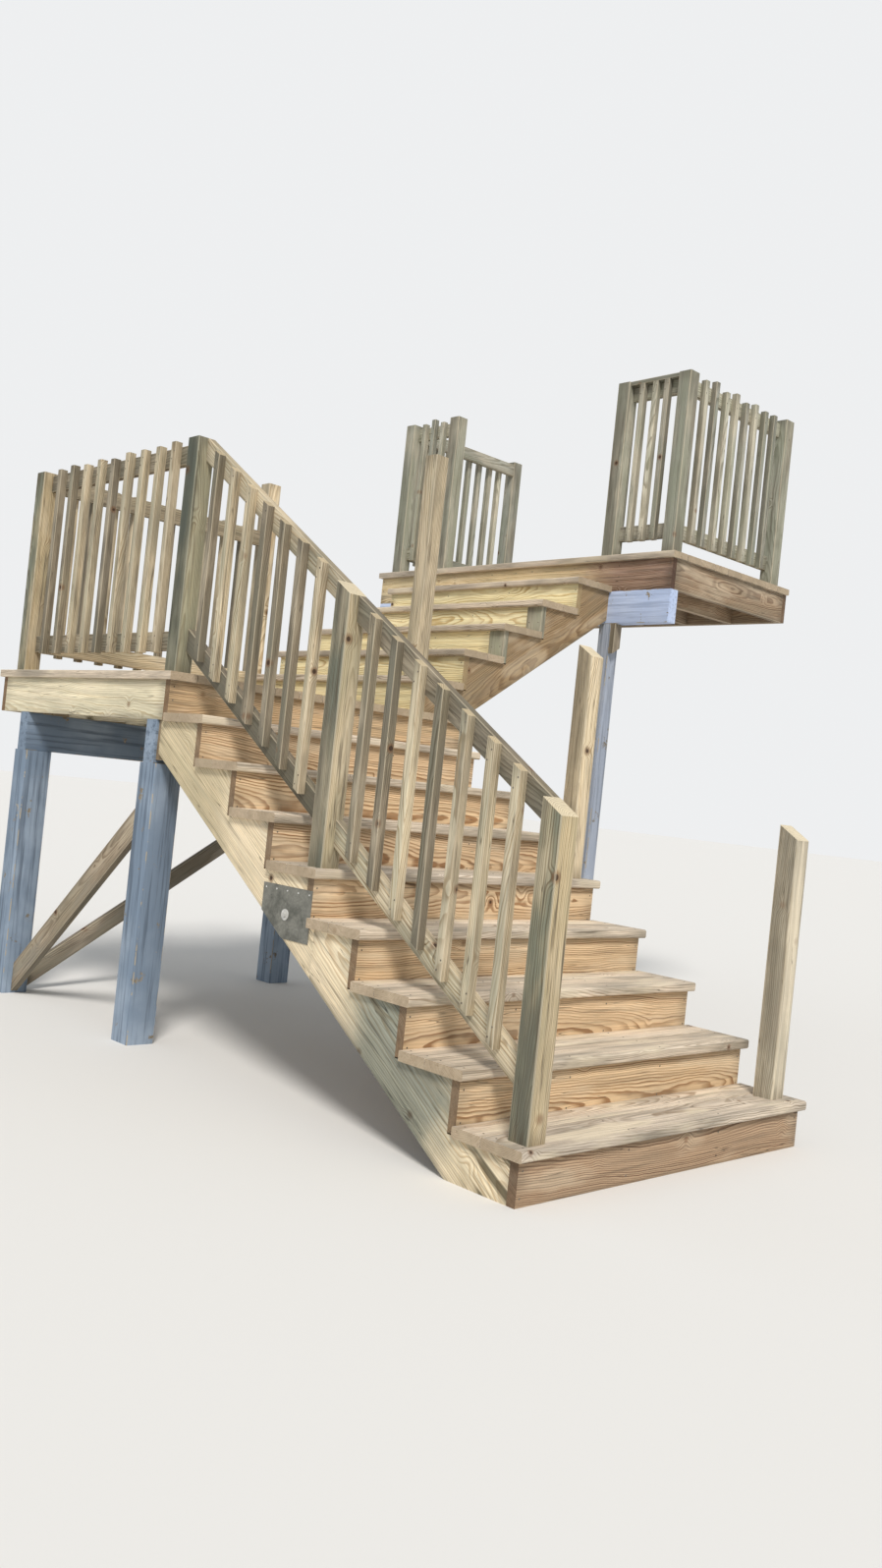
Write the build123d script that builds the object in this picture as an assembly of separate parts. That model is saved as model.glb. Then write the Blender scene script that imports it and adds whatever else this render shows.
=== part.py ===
from build123d import *
import math
import os

os.makedirs("parts", exist_ok=True)

# Two-flight wooden deck stairs, in millimetres. While the model is built, x = 0 is the front face of the
# first riser, y = 0 is the outer face of the left stringer and z = 0 is the ground. The lower flight climbs
# towards -x to a landing, and the upper flight turns right and climbs towards +y to a deck at the wall.

# Steps
RISE = 190.0
RUN = 295.0
NOSE = 25.0
NOSE_RADIUS = 9.0
FLIGHT_WIDTH = 1690.0
SIDE_OVERHANG = 19.0
TREAD_THICK = 38.0
TREAD_FRONT_WIDTH = 184.0
TREAD_GAP = 3.0
RISER_THICK = 38.0
RISER_HEIGHT = 184.0
LOWER_TREADS = 8
UPPER_TREADS = 5

# Stringers
STRINGER_THICK = 38.0
STRINGER_BOARD = 286.0
MIDDLE_STRINGERS = 2
SPLICE_AT = 1150.0
PLATE_FROM = 1180.0
PLATE_LENGTH = 315.0
PLATE_HEIGHT = 207.0
PLATE_DROP = 50.0
PLATE_THICK = 3.0
CLEAT_THICK = 38.0
CLEAT_REACH = 300.0
CLEAT_BOARD = 89.0

# Upper risers that were pieced out with a short block at the right end
BLOCK_RISERS = (3, 4)
BLOCK_LENGTH = 115.0

# Landing and deck framing
RIM_THICK = 38.0
RIM_HEIGHT = 184.0
JOIST_THICK = 38.0
JOIST_SPACING = 400.0
DECKING_THICK = 38.0
DECKING_WIDTH = 140.0
DECKING_GAP = 5.0
LANDING_DEPTH = 1880.0
UPPER_START = 1535.0
DECK_SIDE = 460.0
DECK_DEPTH = 1255.0

# Beams, posts and braces under the landing and the deck
BEAM_WIDTH = 89.0
BEAM_HEIGHT = 200.0
LEFT_BEAM_INSET = 239.0
HANGER_THICK = 38.0
HANGER_HEIGHT = 184.0
HANGER_SETBACK = 12.0
LANDING_POST = 140.0
BRACE_THICK = 38.0
FRONT_BRACE_WIDTH = 114.0
FRONT_BRACE_FOOT = 86.0
FRONT_BRACE_TOP = 1069.0
SIDE_BRACE_WIDTH = 89.0
SIDE_BRACE_FOOT = 60.0
SIDE_BRACE_TOP = 1100.0
DECK_BEAM_WIDTH = 76.0
DECK_POST = 89.0
DECK_POST_SPREAD = 38.0
BLOCKING_LENGTH = 184.0
BLOCKING_WIDTH = 64.0
BLOCKING_THICK = 38.0
BLOCKING_CUT = 40.0

# Newel posts and guards
NEWEL = 89.0
NEWEL_INSET = 42.0
MID_NEWEL_TREAD = 5
LEFT_FOOT_SETBACK = 35.0
LEFT_MID_SETBACK = 45.0
RIGHT_FOOT_SETBACK = 73.0
RIGHT_MID_SETBACK = 70.0
RIGHT_NEWEL_TOP = 1010.0
LANDING_NEWEL_HEIGHT = 1090.0
CORNER_NEWEL_BACK = 45.0
UPPER_NEWEL_HEIGHT = 1195.0
DECK_NEWEL_HEIGHT = 1100.0
DECK_NEWEL_SETBACK = 42.0
WALL_NEWEL_CLEAR = 45.0
RAIL_THICK = 38.0
RAIL_WIDTH = 89.0
BALUSTER = 38.0
RAKED_RAIL_TOP = 1045.0
RAKED_BOTTOM_RAIL = 57.0
RAKED_BALUSTER_FOOT = 110.0
GUARD_RAIL_TOP = 1077.0
GUARD_BOTTOM_RAIL = 111.0
GUARD_BALUSTER_FOOT = 98.0
CAP_THICK = 25.0
FOOT_PANEL_BALUSTERS = 7
HEAD_PANEL_BALUSTERS = 7
LANDING_FRONT_BALUSTERS = 9
LANDING_LEFT_BALUSTERS = 10
DECK_SIDE_BALUSTERS = 8
DECK_FRONT_BALUSTERS = 3

# How far the baluster tops stand over the top rail: nearly level on the landing, sawn by eye on the deck,
# and flush where a rail or a flat board finishes them.
TRIM_TOPS = (11.0, 18.0, 6.0, 15.0, 3.0, 17.0, 13.0)
ROUGH_TOPS = (16.0, 38.0, 8.0, 29.0, 4.0, 24.0, 12.0)
FLUSH_TOPS = (0.0,)

# Places that follow from the sizes above
LOWER_RUN = LOWER_TREADS * RUN
LANDING_TOP = (LOWER_TREADS + 1) * RISE
LANDING_LEFT = -LOWER_RUN - FLIGHT_WIDTH
LANDING_RIGHT = -LOWER_RUN
LANDING_FRAME_TOP = LANDING_TOP - DECKING_THICK
LANDING_FRAME_FOOT = LANDING_FRAME_TOP - RIM_HEIGHT
LANDING_POST_TOP = LANDING_FRAME_FOOT - BEAM_HEIGHT
RIGHT_BEAM_FACE = LANDING_RIGHT - RIM_THICK - HANGER_THICK
DECK_TOP = LANDING_TOP + (UPPER_TREADS + 1) * RISE
DECK_FRONT = UPPER_START + UPPER_TREADS * RUN
DECK_BACK = DECK_FRONT + DECK_DEPTH
DECK_LEFT = LANDING_LEFT - DECK_SIDE
DECK_RIGHT = LANDING_RIGHT + DECK_SIDE
DECK_FRAME_TOP = DECK_TOP - DECKING_THICK
DECK_FRAME_FOOT = DECK_FRAME_TOP - RIM_HEIGHT
DECK_POST_TOP = DECK_FRAME_FOOT - BEAM_HEIGHT
SLOPE = RISE / RUN
PLUMB = math.sqrt(1.0 + SLOPE * SLOPE)

# A flight is built climbing towards +y with its width along +x, then turned or moved into place.
LOWER_FLIGHT = Location((0, 0, 0), (0, 0, 90))
UPPER_FLIGHT = Location((LANDING_LEFT, UPPER_START, LANDING_TOP))


# Straight board between two opposite corners.
def board(x0, x1, y0, y1, z0, z1):
    corner = (Align.MIN, Align.MIN, Align.MIN)
    return Pos(x0, y0, z0) * Box(x1 - x0, y1 - y0, z1 - z0, align=corner)


# Board sawn to a side outline of (y, z) points, with its flat faces at x0 and x1.
def sawn_board(outline, x0, x1):
    edge = Polyline(*[(x0, y, z) for y, z in outline], close=True)
    return extrude(make_face(edge), amount=x1 - x0, dir=(1, 0, 0))


# Height of the line through the nosings of a flight, at a distance y from its first riser.
def nosing_line(y):
    return RISE + (y + NOSE) * SLOPE


# Lower edge of a notched stringer: the board's full width below the line through its outer notch corners.
def stringer_edge(y):
    return RISE - TREAD_THICK + (y - RISER_THICK) * SLOPE - STRINGER_BOARD * PLUMB


# Side outline of a sawtooth stringer, foot cut level on its floor and head cut plumb at head.
def stringer_outline(treads, head):
    outline = [(RISER_THICK, 0.0)]
    for step in range(1, treads + 1):
        seat = step * RISE - TREAD_THICK
        back = head if step == treads else step * RUN + RISER_THICK
        outline.append(((step - 1) * RUN + RISER_THICK, seat))
        outline.append((back, seat))
    outline.append((head, stringer_edge(head)))
    heel = RISER_THICK - (RISE - TREAD_THICK - STRINGER_BOARD * PLUMB) / SLOPE
    outline.append((heel, 0.0))
    return outline


def stringer(treads, head, x0):
    return sawn_board(stringer_outline(treads, head), x0, x0 + STRINGER_THICK)


# Left faces of the stringers between the two outer ones.
def middle_stringers(treads, head):
    pitch = (FLIGHT_WIDTH - STRINGER_THICK) / (MIDDLE_STRINGERS + 1)
    return [stringer(treads, head, pitch * (i + 1)) for i in range(MIDDLE_STRINGERS)]


# One step: a full-width front board with a rounded nose, and a ripped board that fills in behind it.
def tread_boards(step):
    front = (step - 1) * RUN - NOSE
    split = front + TREAD_FRONT_WIDTH
    back = step * RUN
    low = step * RISE - TREAD_THICK
    high = step * RISE
    left = -SIDE_OVERHANG
    right = FLIGHT_WIDTH + SIDE_OVERHANG
    nose_board = board(left, right, front, split, low, high)
    nose_edges = nose_board.edges().filter_by(Axis.X).group_by(Axis.Y)[0]
    nose_board = fillet(nose_edges, NOSE_RADIUS)
    return [nose_board, board(left, right, split + TREAD_GAP, back, low, high)]


# Riser board under the nose of a step; the first one is ripped down to the floor.
def riser_board(step, x0, x1):
    high = step * RISE - TREAD_THICK
    low = max(0.0, high - RISER_HEIGHT)
    front = (step - 1) * RUN
    return board(x0, x1, front, front + RISER_THICK, low, high)


# Newel on a flight: square foot on its tread, top sawn to the slope at a height above the nosings.
def raked_newel(step, setback, above, x0):
    front = (step - 1) * RUN - NOSE + setback
    back = front + NEWEL
    base = step * RISE
    outline = [
        (front, base),
        (back, base),
        (back, nosing_line(back) + above),
        (front, nosing_line(front) + above),
    ]
    return sawn_board(outline, x0, x0 + NEWEL)


# Piece that follows the nosings between y0 and y1, at heights low and high above them, ends cut plumb.
def raked_bar(y0, y1, low, high, x0, x1):
    outline = [
        (y0, nosing_line(y0) + low),
        (y1, nosing_line(y1) + low),
        (y1, nosing_line(y1) + high),
        (y0, nosing_line(y0) + high),
    ]
    return sawn_board(outline, x0, x1)


# Raked guard panel between two newels: rails on edge, balusters nailed to their outer faces with their
# tops sawn in line with the top rail.
def raked_panel(y0, y1, balusters, newel_x):
    inner = newel_x + NEWEL
    face = inner - RAIL_THICK
    top = RAKED_RAIL_TOP
    depth = RAIL_WIDTH * PLUMB
    panel = raked_bar(y0, y1, RAKED_BOTTOM_RAIL, RAKED_BOTTOM_RAIL + depth, face, inner)
    panel += raked_bar(y0, y1, top - depth, top, face, inner)
    pitch = (y1 - y0) / (balusters + 1)
    for i in range(balusters):
        middle = y0 + pitch * (i + 1)
        near = middle - BALUSTER / 2
        far = middle + BALUSTER / 2
        panel += raked_bar(near, far, RAKED_BALUSTER_FOOT, top, face - BALUSTER, face)
    return panel


# Level guard panel, along +x from 0 and standing out towards -y, heights above its floor.
def level_panel(length, balusters, tops):
    rail_low = GUARD_RAIL_TOP - RAIL_WIDTH
    panel = board(0, length, 0, RAIL_THICK, GUARD_BOTTOM_RAIL, GUARD_BOTTOM_RAIL + RAIL_WIDTH)
    panel += board(0, length, 0, RAIL_THICK, rail_low, GUARD_RAIL_TOP)
    pitch = length / (balusters + 1)
    for i in range(balusters):
        near = pitch * (i + 1) - BALUSTER / 2
        tip = GUARD_RAIL_TOP + tops[i % len(tops)]
        panel += board(near, near + BALUSTER, -BALUSTER, 0, GUARD_BALUSTER_FOOT, tip)
    return panel


# Level guard panel finished with a flat board over its rail and baluster tops.
def capped_panel(length, balusters):
    panel = level_panel(length, balusters, FLUSH_TOPS)
    return panel + board(0, length, -BALUSTER, RAIL_THICK, GUARD_RAIL_TOP, GUARD_RAIL_TOP + CAP_THICK)


# Sway brace between two posts, its middle line from height z0 to z1 and its ends cut plumb against them.
def brace(y0, y1, z0, z1, width, x0):
    slope = (z1 - z0) / (y1 - y0)
    half = width / 2 * math.sqrt(1.0 + slope * slope)
    outline = [
        (y0, z0 - half),
        (y1, z1 - half),
        (y1, z1 + half),
        (y0, z0 + half),
    ]
    return sawn_board(outline, x0, x0 + BRACE_THICK)


# Decking between two edges in y, its boards along x and ripped evenly to fill the floor.
def decking(x0, x1, y0, y1, top):
    count = max(1, round((y1 - y0 + DECKING_GAP) / (DECKING_WIDTH + DECKING_GAP)))
    width = (y1 - y0 - (count - 1) * DECKING_GAP) / count
    boards = []
    for i in range(count):
        edge = y0 + i * (width + DECKING_GAP)
        boards.append(board(x0, x1, edge, edge + width, top - DECKING_THICK, top))
    return boards


# Near faces of the joists that fill a bay between two rims, at no more than the joist spacing.
def joist_places(near, far):
    bays = max(2, math.ceil((far - near) / JOIST_SPACING))
    pitch = (far - near) / bays
    return [near + pitch * (i + 1) - JOIST_THICK / 2 for i in range(bays - 1)]


nodes = {}

# Lower flight: left stringer in two lengths butted plumb, the others whole.
lower_head = LOWER_RUN + RIM_THICK
left_stringer = stringer(LOWER_TREADS, lower_head, 0.0)
far = LOWER_RUN * 2
tall = LANDING_TOP * 2
foot_half = board(-1.0, STRINGER_THICK + 1.0, -1.0, SPLICE_AT, -1.0, tall)
head_half = board(-1.0, STRINGER_THICK + 1.0, SPLICE_AT, far, -1.0, tall)
nodes["lower_stringer_left_foot"] = [LOWER_FLIGHT * (left_stringer & foot_half)]
nodes["lower_stringer_left_head"] = [LOWER_FLIGHT * (left_stringer & head_half)]
right_stringer = stringer(LOWER_TREADS, lower_head, FLIGHT_WIDTH - STRINGER_THICK)
nodes["lower_stringer_right"] = [LOWER_FLIGHT * right_stringer]
nodes["lower_stringers_middle"] = [LOWER_FLIGHT * s for s in middle_stringers(LOWER_TREADS, lower_head)]

# Splice of the left stringer: steel plate on the outer face, trimmed along the stringer's lower edge, and
# a wood cleat along that edge behind it.
plate_top = MID_NEWEL_TREAD * RISE - TREAD_THICK - PLATE_DROP
plate_far = PLATE_FROM + PLATE_LENGTH
plate = board(-PLATE_THICK, 0.0, PLATE_FROM, plate_far, plate_top - PLATE_HEIGHT, plate_top)
plate_trim = [
    (PLATE_FROM, -tall),
    (plate_far, -tall),
    (plate_far, stringer_edge(plate_far)),
    (PLATE_FROM, stringer_edge(PLATE_FROM)),
]
plate -= sawn_board(plate_trim, -PLATE_THICK, 0.0)
cleat_near = SPLICE_AT - CLEAT_REACH
cleat_far = SPLICE_AT + CLEAT_REACH
cleat_outline = [
    (cleat_near, stringer_edge(cleat_near)),
    (cleat_far, stringer_edge(cleat_far)),
    (cleat_far, stringer_edge(cleat_far) + CLEAT_BOARD * PLUMB),
    (cleat_near, stringer_edge(cleat_near) + CLEAT_BOARD * PLUMB),
]
cleat = sawn_board(cleat_outline, STRINGER_THICK, STRINGER_THICK + CLEAT_THICK)
nodes["stringer_splice_plate"] = [LOWER_FLIGHT * plate]
nodes["stringer_splice_cleat"] = [LOWER_FLIGHT * cleat]

# Treads and risers of the lower flight; the landing's right rim is its last riser.
lower_treads = []
lower_risers = []
for step in range(1, LOWER_TREADS + 1):
    lower_treads += [LOWER_FLIGHT * b for b in tread_boards(step)]
    lower_risers.append(LOWER_FLIGHT * riser_board(step, 0.0, FLIGHT_WIDTH))
nodes["lower_treads"] = lower_treads
nodes["lower_risers"] = lower_risers

# Upper flight: it stands on the landing's decking and its stringers butt the deck's beam.
upper_head = UPPER_TREADS * RUN
upper_left = stringer(UPPER_TREADS, upper_head, 0.0)
upper_right = stringer(UPPER_TREADS, upper_head, FLIGHT_WIDTH - STRINGER_THICK)
nodes["upper_stringer_left"] = [UPPER_FLIGHT * upper_left]
nodes["upper_stringer_right"] = [UPPER_FLIGHT * upper_right]
nodes["upper_stringers_middle"] = [UPPER_FLIGHT * s for s in middle_stringers(UPPER_TREADS, upper_head)]
upper_treads = []
upper_risers = []
upper_blocks = []
for step in range(1, UPPER_TREADS + 1):
    upper_treads += [UPPER_FLIGHT * b for b in tread_boards(step)]
    riser_end = FLIGHT_WIDTH
    if step in BLOCK_RISERS:
        riser_end = FLIGHT_WIDTH - BLOCK_LENGTH
        upper_blocks.append(UPPER_FLIGHT * riser_board(step, riser_end, FLIGHT_WIDTH))
    upper_risers.append(UPPER_FLIGHT * riser_board(step, 0.0, riser_end))
nodes["upper_treads"] = upper_treads
nodes["upper_risers"] = upper_risers
nodes["upper_riser_end_blocks"] = upper_blocks

# Landing frame: side rims run past the front and back rims, joists lie between the side rims.
foot = LANDING_FRAME_FOOT
top = LANDING_FRAME_TOP
inner_left = LANDING_LEFT + RIM_THICK
inner_right = LANDING_RIGHT - RIM_THICK
back_rim = LANDING_DEPTH - RIM_THICK
nodes["landing_side_rims"] = [
    board(LANDING_LEFT, inner_left, 0.0, LANDING_DEPTH, foot, top),
    board(inner_right, LANDING_RIGHT, 0.0, LANDING_DEPTH, foot, top),
]
nodes["landing_end_rims"] = [
    board(inner_left, inner_right, 0.0, RIM_THICK, foot, top),
    board(inner_left, inner_right, back_rim, LANDING_DEPTH, foot, top),
]
nodes["landing_joists"] = [
    board(inner_left, inner_right, y, y + JOIST_THICK, foot, top) for y in joist_places(RIM_THICK, back_rim)
]
nodes["landing_decking"] = decking(
    LANDING_LEFT - SIDE_OVERHANG, LANDING_RIGHT + NOSE, -SIDE_OVERHANG, LANDING_DEPTH, LANDING_TOP
)

# Landing supports: two front-to-back beams on square posts, and a board on the right beam that
# carries the heads of the lower stringers.
beam_faces = (LANDING_LEFT + LEFT_BEAM_INSET, RIGHT_BEAM_FACE - BEAM_WIDTH)
nodes["landing_beams"] = [
    board(x, x + BEAM_WIDTH, 0.0, LANDING_DEPTH, LANDING_POST_TOP, foot) for x in beam_faces
]
nodes["landing_stringer_hanger"] = [
    board(RIGHT_BEAM_FACE, inner_right, HANGER_SETBACK, LANDING_DEPTH, foot - HANGER_HEIGHT, foot)
]
post_shift = (BEAM_WIDTH - LANDING_POST) / 2
post_rows = (0.0, LANDING_DEPTH - LANDING_POST)
nodes["landing_posts"] = [
    board(x + post_shift, x + post_shift + LANDING_POST, y, y + LANDING_POST, 0.0, LANDING_POST_TOP)
    for x in beam_faces
    for y in post_rows
]

# Sway braces between the posts, one in the front row and one along the left side. Looking along the lower
# flight's own direction, the front brace falls away from the right post.
left_post_face = beam_faces[0] + post_shift + LANDING_POST
right_post_face = beam_faces[1] + post_shift
front_brace = brace(
    -right_post_face,
    -left_post_face,
    FRONT_BRACE_TOP,
    FRONT_BRACE_FOOT,
    FRONT_BRACE_WIDTH,
    (LANDING_POST - BRACE_THICK) / 2,
)
side_brace = brace(
    LANDING_POST,
    LANDING_DEPTH - LANDING_POST,
    SIDE_BRACE_FOOT,
    SIDE_BRACE_TOP,
    SIDE_BRACE_WIDTH,
    beam_faces[0] + (BEAM_WIDTH - BRACE_THICK) / 2,
)
nodes["landing_braces"] = [LOWER_FLIGHT * front_brace, side_brace]

# Deck frame: front rim and wall ledger run the full width, joists and side rims lie between them.
foot = DECK_FRAME_FOOT
top = DECK_FRAME_TOP
front_inner = DECK_FRONT + RIM_THICK
back_inner = DECK_BACK - RIM_THICK
nodes["deck_front_rim"] = [board(DECK_LEFT, DECK_RIGHT, DECK_FRONT, front_inner, foot, top)]
nodes["deck_ledger"] = [board(DECK_LEFT, DECK_RIGHT, back_inner, DECK_BACK, foot, top)]
nodes["deck_side_rims"] = [
    board(DECK_LEFT, DECK_LEFT + RIM_THICK, front_inner, back_inner, foot, top),
    board(DECK_RIGHT - RIM_THICK, DECK_RIGHT, front_inner, back_inner, foot, top),
]
nodes["deck_joists"] = [
    board(x, x + JOIST_THICK, front_inner, back_inner, foot, top)
    for x in joist_places(DECK_LEFT + RIM_THICK, DECK_RIGHT - RIM_THICK)
]
nodes["deck_decking"] = decking(
    DECK_LEFT - SIDE_OVERHANG, DECK_RIGHT + SIDE_OVERHANG, DECK_FRONT - NOSE, DECK_BACK, DECK_TOP
)

# Beam under the deck's front edge on two posts, with a short block beside the right post.
beam_back = DECK_FRONT + DECK_BEAM_WIDTH
nodes["deck_beam"] = [board(DECK_LEFT, DECK_RIGHT, DECK_FRONT, beam_back, DECK_POST_TOP, foot)]
right_post = LANDING_RIGHT + DECK_POST_SPREAD
left_post = LANDING_LEFT - DECK_POST_SPREAD
nodes["deck_posts"] = [
    board(left_post, left_post + DECK_POST, DECK_FRONT, DECK_FRONT + DECK_POST, 0.0, DECK_POST_TOP),
    board(right_post - DECK_POST, right_post, DECK_FRONT, DECK_FRONT + DECK_POST, 0.0, DECK_POST_TOP),
]
block_outline = [
    (DECK_FRONT, DECK_POST_TOP),
    (DECK_FRONT, DECK_POST_TOP - BLOCKING_LENGTH),
    (DECK_FRONT + BLOCKING_WIDTH, DECK_POST_TOP - BLOCKING_LENGTH + BLOCKING_CUT),
    (DECK_FRONT + BLOCKING_WIDTH, DECK_POST_TOP),
]
nodes["deck_beam_block"] = [sawn_board(block_outline, right_post, right_post + BLOCKING_THICK)]

# Newels of the lower flight, left with the guard and right still bare.
left_newel = NEWEL_INSET
right_newel = FLIGHT_WIDTH - NEWEL_INSET - NEWEL
nodes["lower_newels_left"] = [
    LOWER_FLIGHT * raked_newel(1, LEFT_FOOT_SETBACK, RAKED_RAIL_TOP, left_newel),
    LOWER_FLIGHT * raked_newel(MID_NEWEL_TREAD, LEFT_MID_SETBACK, RAKED_RAIL_TOP, left_newel),
]
nodes["lower_newels_right"] = [
    LOWER_FLIGHT * raked_newel(1, RIGHT_FOOT_SETBACK, RIGHT_NEWEL_TOP, right_newel),
    LOWER_FLIGHT * raked_newel(MID_NEWEL_TREAD, RIGHT_MID_SETBACK, RIGHT_NEWEL_TOP, right_newel),
]

# Newels of the landing and the tall pair on the first tread of the upper flight.
corner_x = LANDING_RIGHT - CORNER_NEWEL_BACK
left_x = LANDING_LEFT + NEWEL_INSET
landing_tip = LANDING_TOP + LANDING_NEWEL_HEIGHT
nodes["landing_newels"] = [
    board(left_x, left_x + NEWEL, left_newel, left_newel + NEWEL, LANDING_TOP, landing_tip),
    board(corner_x - NEWEL, corner_x, left_newel, left_newel + NEWEL, LANDING_TOP, landing_tip),
]
upper_foot = LANDING_TOP + RISE
upper_front = UPPER_START - NOSE
right_x = LANDING_RIGHT - NEWEL_INSET - NEWEL
nodes["upper_newels"] = [
    board(x, x + NEWEL, upper_front, upper_front + NEWEL, upper_foot, upper_foot + UPPER_NEWEL_HEIGHT)
    for x in (left_x, right_x)
]

# Newels of the deck: four along the front edge and one at each end of the wall.
deck_row = DECK_FRONT + DECK_NEWEL_SETBACK
wall_row = DECK_BACK - WALL_NEWEL_CLEAR - NEWEL
outer_left = DECK_LEFT + NEWEL_INSET
outer_right = DECK_RIGHT - NEWEL_INSET - NEWEL
deck_tip = DECK_TOP + DECK_NEWEL_HEIGHT
deck_newels = []
for x in (outer_left, left_x, right_x, outer_right):
    deck_newels.append(board(x, x + NEWEL, deck_row, deck_row + NEWEL, DECK_TOP, deck_tip))
for x in (outer_left, outer_right):
    deck_newels.append(board(x, x + NEWEL, wall_row, wall_row + NEWEL, DECK_TOP, deck_tip))
nodes["deck_newels"] = deck_newels

# Raked guard on the left of the lower flight, a panel each side of the middle newel.
foot_from = NEWEL - NOSE + LEFT_FOOT_SETBACK
mid_from = (MID_NEWEL_TREAD - 1) * RUN - NOSE + LEFT_MID_SETBACK
corner_at = LOWER_RUN + CORNER_NEWEL_BACK
nodes["lower_railing_foot"] = [
    LOWER_FLIGHT * raked_panel(foot_from, mid_from, FOOT_PANEL_BALUSTERS, left_newel)
]
nodes["lower_railing_head"] = [
    LOWER_FLIGHT * raked_panel(mid_from + NEWEL, corner_at, HEAD_PANEL_BALUSTERS, left_newel)
]

# Level guards of the landing, their rails flush with the inner faces of the newels.
rail_back = NEWEL - RAIL_THICK
front_length = corner_x - NEWEL - left_x - NEWEL
front_panel = level_panel(front_length, LANDING_FRONT_BALUSTERS, TRIM_TOPS)
nodes["landing_railing_front"] = [Pos(left_x + NEWEL, left_newel + rail_back, LANDING_TOP) * front_panel]
left_length = upper_front - left_newel - NEWEL
left_panel = level_panel(left_length, LANDING_LEFT_BALUSTERS, TRIM_TOPS)
left_place = Location((left_x + rail_back, upper_front, LANDING_TOP), (0, 0, -90))
nodes["landing_railing_left"] = [left_place * left_panel]

# Level guards of the deck: a short panel each side of the stair and one along each end.
deck_line = deck_row + rail_back
left_short = level_panel(left_x - outer_left - NEWEL, DECK_FRONT_BALUSTERS, ROUGH_TOPS)
right_short = capped_panel(outer_right - right_x - NEWEL, DECK_FRONT_BALUSTERS)
nodes["deck_railing_front_left"] = [Pos(outer_left + NEWEL, deck_line, DECK_TOP) * left_short]
nodes["deck_railing_front_right"] = [Pos(right_x + NEWEL, deck_line, DECK_TOP) * right_short]
side_length = wall_row - deck_row - NEWEL
left_side = level_panel(side_length, DECK_SIDE_BALUSTERS, FLUSH_TOPS)
right_side = level_panel(side_length, DECK_SIDE_BALUSTERS, ROUGH_TOPS)
left_place = Location((outer_left + rail_back, wall_row, DECK_TOP), (0, 0, -90))
nodes["deck_railing_left"] = [left_place * left_side]
right_place = Location((outer_right + RAIL_THICK, deck_row + NEWEL, DECK_TOP), (0, 0, 90))
nodes["deck_railing_right"] = [right_place * right_side]

# The part's own origin is the middle of its footprint, on the ground.
everything = Compound([solid for solids in nodes.values() for shape in solids for solid in shape.solids()])
box = everything.bounding_box()
origin = Pos(-(box.min.X + box.max.X) / 2, -(box.min.Y + box.max.Y) / 2, -box.min.Z)
for name, solids in nodes.items():
    pieces = [origin * solid for shape in solids for solid in shape.solids()]
    whole = pieces[0] if len(pieces) == 1 else Compound(pieces)
    export_step(whole, "parts/" + name + ".step")
print("footprint", box.size, "origin at", box.center())
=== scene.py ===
import math
import random

import bmesh
import bpy
from mathutils import Matrix, Vector


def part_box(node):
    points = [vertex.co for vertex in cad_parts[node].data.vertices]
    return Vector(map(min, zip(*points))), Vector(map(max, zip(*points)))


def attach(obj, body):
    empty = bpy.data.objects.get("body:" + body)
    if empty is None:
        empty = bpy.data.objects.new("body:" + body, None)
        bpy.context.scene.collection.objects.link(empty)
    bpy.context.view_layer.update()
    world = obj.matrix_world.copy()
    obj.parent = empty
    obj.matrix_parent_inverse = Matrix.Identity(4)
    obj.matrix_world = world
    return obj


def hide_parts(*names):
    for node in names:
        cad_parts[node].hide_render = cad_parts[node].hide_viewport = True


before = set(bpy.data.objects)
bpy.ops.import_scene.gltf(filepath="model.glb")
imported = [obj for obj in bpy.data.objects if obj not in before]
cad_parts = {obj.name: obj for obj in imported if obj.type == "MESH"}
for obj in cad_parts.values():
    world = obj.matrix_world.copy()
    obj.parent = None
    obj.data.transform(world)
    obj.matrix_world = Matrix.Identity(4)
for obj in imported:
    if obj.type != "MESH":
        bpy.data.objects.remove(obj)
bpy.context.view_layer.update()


# Stringers of the lower flight
# Sawtooth boards cut from treated two-inch pine. The left one is in two lengths, cream where the wood is
# fresh and touched with the green of the treatment, with painted shade in grey and blue-grey over two long
# stretches of it. Their heads are nailed to a hanger board.
EASE = 0.0035
WELD = 0.00005
FLAT_ANGLE = math.radians(1.0)
SHARP_ANGLE = math.radians(30.0)
LENGTHWISE = 0.99
SIDE_FACE = 0.3
END_FACE = 0.7


# Groups the faces of a mesh into its separate boards, from the lowest board to the highest.
def parts_of(mesh):
    mesh.faces.ensure_lookup_table()
    mesh.faces.index_update()
    seen = set()
    groups = []
    for first in mesh.faces:
        if first.index in seen:
            continue
        seen.add(first.index)
        group = [first]
        for face in group:
            for edge in face.edges:
                for other in edge.link_faces:
                    if other.index not in seen:
                        seen.add(other.index)
                        group.append(other)
        groups.append(group)
    return sorted(groups, key=lambda group: [round(value, 3) for value in corners_of(group)[0].zyx])


# Lowest and highest corner of some faces.
def corners_of(faces):
    points = [vert.co for face in faces for vert in face.verts]
    low = Vector([min(point[i] for point in points) for i in range(3)])
    high = Vector([max(point[i] for point in points) for i in range(3)])
    return low, high


# Directions of one board: along its longest edge, across its width, and through its thickness.
def board_axes(faces):
    edges = {edge.index: edge for face in faces for edge in face.edges}
    longest = max(edges.values(), key=lambda edge: round(edge.calc_length(), 5))
    along = (longest.verts[1].co - longest.verts[0].co).normalized()
    sides = [face for face in faces if abs(face.normal.dot(along)) < SIDE_FACE]
    widest = max(sides, key=lambda face: round(face.calc_area(), 6))
    through = (widest.normal - along * widest.normal.dot(along)).normalized()
    return along, through.cross(along), through
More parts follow.
